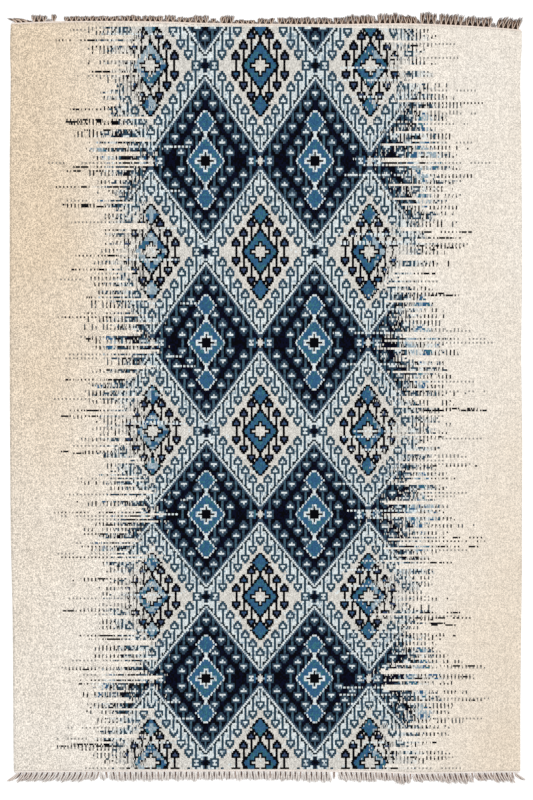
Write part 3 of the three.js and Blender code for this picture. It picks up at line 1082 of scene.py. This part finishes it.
def buildFringe(name, tufts, edgeAt, outward, look, settings):
    random = np.random.default_rng(settings["seed"] + (0 if outward > 0 else 1))
    locks = layLocks(tufts, settings)
    parts = {"points": [], "tones": [], "lengths": []}
    part = np.linspace(0, 1, settings["rings"])
    wide = np.interp(part, *settings["widening"])

    # one yarn's way from the knot to its tip
    def layPath(lock, startSide, endSide, reach, heights, curl):
        out = reach * part - settings["knotDepth"] * (1 - part)
        leaned = np.clip(out / lock["reach"], 0, 1.1)
        bend = lock["lean"] * leaned
        bend *= 1 - settings["lockBend"] + settings["lockBend"] * leaned
        side = startSide * (1 - wide) + endSide * wide
        turn = random.uniform(0, 2 * math.pi)
        side = side + curl * part * np.sin(part * 7 + turn)
        across = lock["root"] + bend + side
        along = edgeAt(np.full(len(part), lock["root"])) + outward * out
        low, high = heights
        up = low + (high - low) * np.sin(np.clip(part * 1.15, 0, 1) * math.pi) ** 0.7
        up = np.maximum(up + 0.25 * np.sin(part * 9 + turn), settings["lowest"])
        return np.column_stack([across, along, up])

    # the lock's own yarns, in two layers
    def layYarns(lock, leftRoom, rightRoom):
        paleness = np.interp(lock["root"], look["wearPlaces"], look["paleness"])
        count = settings["yarnsPerLock"]
        for yarn in range(count):
            place = (yarn + 0.5) / count * 2 - 1 + random.uniform(-0.06, 0.06)
            endSide = place * (rightRoom if place > 0 else leftRoom)
            reach = lock["reach"] * random.uniform(0.84, 1.06) * (1 - 0.1 * abs(place) ** 3)
            path = layPath(lock, place * 1.6, endSide, reach, settings["yarnHeights"][yarn % 2], 1.1)
            # painted shade: the dark colour goes into the flanks and the core of the lock, and into some
            # yarns at random
            shade = look["streakShade"] * (random.random() < 0.3)
            if abs(place) > 0.66:
                shade = look["flankShade"]
            elif abs(place) < 0.2:
                shade = look["coreShade"]
            radius = settings["yarnRadius"] * random.uniform(0.85, 1.15)
            pale = np.clip(paleness + random.uniform(-0.25, 0.3), 0, 1)
            addYarn(parts, path, radius, (pale, shade * random.uniform(0.6, 1)))

    # the two pale cords that open as a V from the knot
    def layCords(lock, leftRoom, rightRoom):
        for half in (-0.5, 0.5):
            place = half + random.uniform(-0.16, 0.16)
            endSide = place * (rightRoom if place > 0 else leftRoom)
            reach = lock["reach"] * random.uniform(0.65, 0.92)
            path = layPath(lock, place * 1.2, endSide, reach, settings["cordHeights"], 0.5)
            addYarn(parts, path, settings["cordRadius"], (random.uniform(0.85, 1.0), 0.0))

    # dark yarns laid low in the opening between two locks, as painted shade where the locks' shadow falls;
    # fainter where two tufts part
    def layShadowYarns(lock, following):
        room = following["root"] - lock["root"]
        if room > settings["widestGap"]:
            return
        for yarn in range(look["gapYarns"]):
            place = (yarn + 0.5) / look["gapYarns"]
            root = lock["root"] + room * (0.5 + (place - 0.5) * look["gapSpread"])
            reach = min(lock["reach"], following["reach"]) * random.uniform(*look["gapReach"])
            reach *= 1 - abs(place - 0.5) * look["gapPeak"]
            path = layPath(dict(lock, root=root), 0, 0, reach, settings["gapHeights"], 0.4)
            shade = look["gapShade"] * random.uniform(0.8, 1.0)
            if room >= settings["tuftGap"]:
                shade *= 0.5
            addYarn(parts, path, settings["yarnRadius"] * 1.5, (0.2, shade))

    for index, lock in enumerate(locks):
        isLast = index == len(locks) - 1
        before = locks[index - 1]["root"] if index else lock["root"] - settings["endRoom"]
        after = lock["root"] + settings["endRoom"] if isLast else locks[index + 1]["root"]
        leftRoom = min((lock["root"] - before) / 2, settings["mostRoom"])
        rightRoom = min((after - lock["root"]) / 2, settings["mostRoom"])
        layYarns(lock, leftRoom, rightRoom)
        layCords(lock, leftRoom, rightRoom)
        if not isLast:
            layShadowYarns(lock, locks[index + 1])
    strip = buildStrip(edgeAt, outward, settings)
    return buildYarnMesh(name, parts, strip, settings), len(parts["points"])


# The wear places are where along the fringe, across the rug, each paleness holds. The dark colour is painted
# shade: it is mixed into each lock's flanks and core, into a few of its yarns at random and into the dark
# yarns in the openings, as far as the shades say.
topLook = {
    "lightLevel": 0.87,
    "pale": (250, 226, 206), "body": (96, 58, 38), "tip": (122, 88, 68), "dark": (26, 8, 2),
    "strip": (238, 224, 212),
    "wearPlaces": (-790, -200, 790), "paleness": (0.55, 0.3, 0.16),
    "flankShade": 0.75, "coreShade": 1.0, "streakShade": 0.5,
    "gapYarns": 5, "gapSpread": 0.6, "gapReach": (0.4, 0.62), "gapPeak": 0.9, "gapShade": 1.0,
}
bottomLook = {
    "lightLevel": 0.87,
    "pale": (255, 250, 244), "body": (162, 108, 76), "tip": (234, 220, 210), "dark": (52, 18, 6),
    "strip": (240, 230, 222),
    "wearPlaces": (-790, -745, -690, -300, 200, 400, 790),
    "paleness": (0.0, 0.35, 0.95, 1.0, 1.0, 0.45, 0.1),
    "flankShade": 0.1, "coreShade": 0.6, "streakShade": 0.1,
    "gapYarns": 3, "gapSpread": 0.2, "gapReach": (0.55, 0.95), "gapPeak": 0.0, "gapShade": 0.9,
}


def buildYarnMaterial(name, look):
    material, tree, shader = newMaterial(name, 0.9, 0.02)
    tones = tree.nodes.new("ShaderNodeAttribute")
    tones.attribute_name = "yarnTone"
    split = tree.nodes.new("ShaderNodeSeparateColor")
    tree.links.new(tones.outputs["Color"], split.inputs[0])
    pale, shaded, towardsTip = split.outputs
    level = look["lightLevel"]
    colour = mixColour(tree, towardsTip, dye(*look["body"], level), dye(*look["tip"], level))
    pale = doMath(tree, "MULTIPLY", pale, mapRange(tree, towardsTip, 0.2, 1.0, 1.0, 0.6))
    colour = mixColour(tree, pale, colour, dye(*look["pale"], level))
    # painted shade: the dark colour mixed in as far as a yarn is shaded
    colour = mixColour(tree, shaded, colour, dye(*look["dark"], level))
    colour = mixColour(tree, tones.outputs["Alpha"], dye(*look["strip"], level), colour)
    # the ridges of the plied yarn run slantwise round it
    twist = tree.nodes.new("ShaderNodeUVMap")
    twist.uv_map = "twist"
    place = separate(tree, twist.outputs[0])
    slant = doMath(tree, "MULTIPLY", place[1], 3.0)
    slant = doMath(tree, "ADD", doMath(tree, "MULTIPLY", place[0], 2.0), slant)
    ridge = doMath(tree, "SINE", doMath(tree, "MULTIPLY", doMath(tree, "FRACT", slant), math.pi))
    tone = placeGroup(tree, heather, Vector=twist.outputs[0], Speck=0.12, Streak=0.2)
    # painted shade in the grooves between the ridges, together with the uneven spinning
    shade = doMath(tree, "MULTIPLY_ADD", ridge, 0.2, 0.86)
    shade = doMath(tree, "MULTIPLY", shade, tone["Tone"])
    tree.links.new(shadeColour(tree, colour, shade), shader.inputs["Base Color"])
    tree.links.new(bump(tree, ridge, 0.6, 0.0004), shader.inputs["Normal"])
    return material


for name, node, tufts, edgeAt, outward, look in (
        ("topFringe", "fringe_top", topTufts, topAt, 1, topLook),
        ("bottomFringe", "fringe_bottom", bottomTufts, bottomAt, -1, bottomLook)):
    fringe, yarnCount = buildFringe(name, tufts, edgeAt, outward, look, fringeSettings)
    fringe.data.materials.append(buildYarnMaterial(name + "Yarn", look))
    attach(fringe, "root")
    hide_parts(node)
    print(name, "laid,", yarnCount, "yarns")

# Floor and light.
stageSettings = {
    "floorSize": 14.0,
    "floorHeight": -0.0004,
    "floorColour": (0.94, 0.94, 0.94, 1),
    "skyColour": (1, 1, 1, 1),
    "skyLevel": 0.72,
    "panelPlace": (2.6, 1.0, 12.0),
    "panelSize": 6.0,
    "panelPower": 850.0,
}


def addStage(settings):
    bpy.ops.object.select_all(action="DESELECT")
    bpy.ops.mesh.primitive_plane_add(size=settings["floorSize"], location=(0, 0, settings["floorHeight"]))
    floor = bpy.context.object
    floor.name = "paleFloor"
    material, _, shader = newMaterial("paleFloorPaint", 0.9)
    shader.inputs["Base Color"].default_value = settings["floorColour"]
    floor.data.materials.append(material)
    world = bpy.data.worlds.new("softStudio")
    world.use_nodes = True
    sky = world.node_tree.nodes["Background"]
    sky.inputs["Color"].default_value = settings["skyColour"]
    sky.inputs["Strength"].default_value = settings["skyLevel"]
    bpy.context.scene.world = world
    bpy.ops.object.light_add(type="AREA", location=settings["panelPlace"])
    panel = bpy.context.object
    panel.name = "softPanel"
    panel.data.shape = "SQUARE"
    panel.data.size = settings["panelSize"]
    panel.data.energy = settings["panelPower"]
    panel.rotation_euler = Vector(settings["panelPlace"]).to_track_quat("Z", "Y").to_euler()
    # plain colours, so that the floor and the undyed wool stay as pale as they are
    bpy.context.scene.view_settings.view_transform = "Standard"


addStage(stageSettings)
print("stage set")
